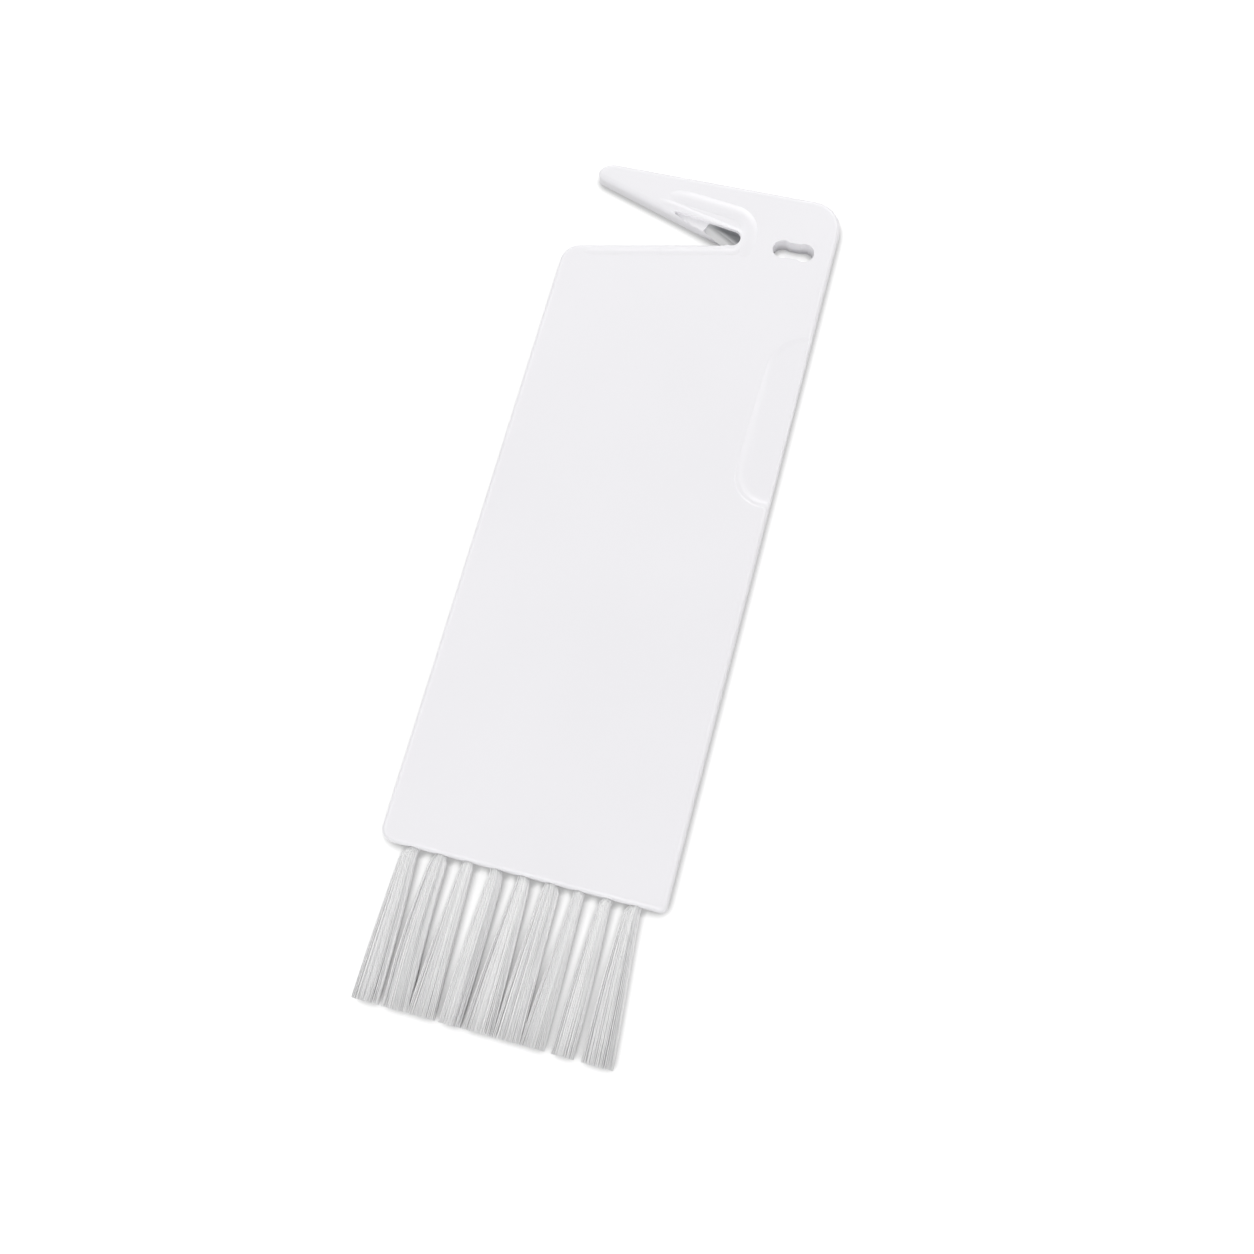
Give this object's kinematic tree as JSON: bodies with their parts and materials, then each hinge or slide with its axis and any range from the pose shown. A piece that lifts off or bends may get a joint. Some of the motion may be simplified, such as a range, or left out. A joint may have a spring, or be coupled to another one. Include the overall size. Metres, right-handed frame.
{
  "type": "crevice brush",
  "caption": "Flat card-shaped crevice brush: trimmed nylon tufts at one end, a V notch with a guarded hair-cutting blade at the other, a hanging slot and a thumb recess.",
  "frame": {"origin": "centre of the object's box on the flat back, the face it lies on", "axes": "+Y along the length towards the beak and the hanging slot, the tufts point to -Y; +Z out of the front face; +X towards the edge with the thumb recess"},
  "size_m": [0.0452, 0.146, 0.0033],
  "materials": {
    "white_abs": "satin moulded",
    "blade_steel": "dark flat with a ground bevel",
    "nylon_bristle": "drawn translucent white nylon",
    "anchor_metal": "drawn flat wire"
  },
  "bodies": {
    "root": {"card_body": "white_abs", "cutter_blade": "blade_steel", "tuft_1": "nylon_bristle", "tuft_2": "nylon_bristle", "tuft_3": "nylon_bristle", "tuft_4": "nylon_bristle", "tuft_5": "nylon_bristle", "tuft_6": "nylon_bristle", "tuft_7": "nylon_bristle", "tuft_8": "nylon_bristle", "tuft_9": "nylon_bristle", "anchor_1": "anchor_metal", "anchor_2": "anchor_metal", "anchor_3": "anchor_metal", "anchor_4": "anchor_metal", "anchor_5": "anchor_metal", "anchor_6": "anchor_metal", "anchor_7": "anchor_metal", "anchor_8": "anchor_metal", "anchor_9": "anchor_metal"}
  },
  "joints": []
}
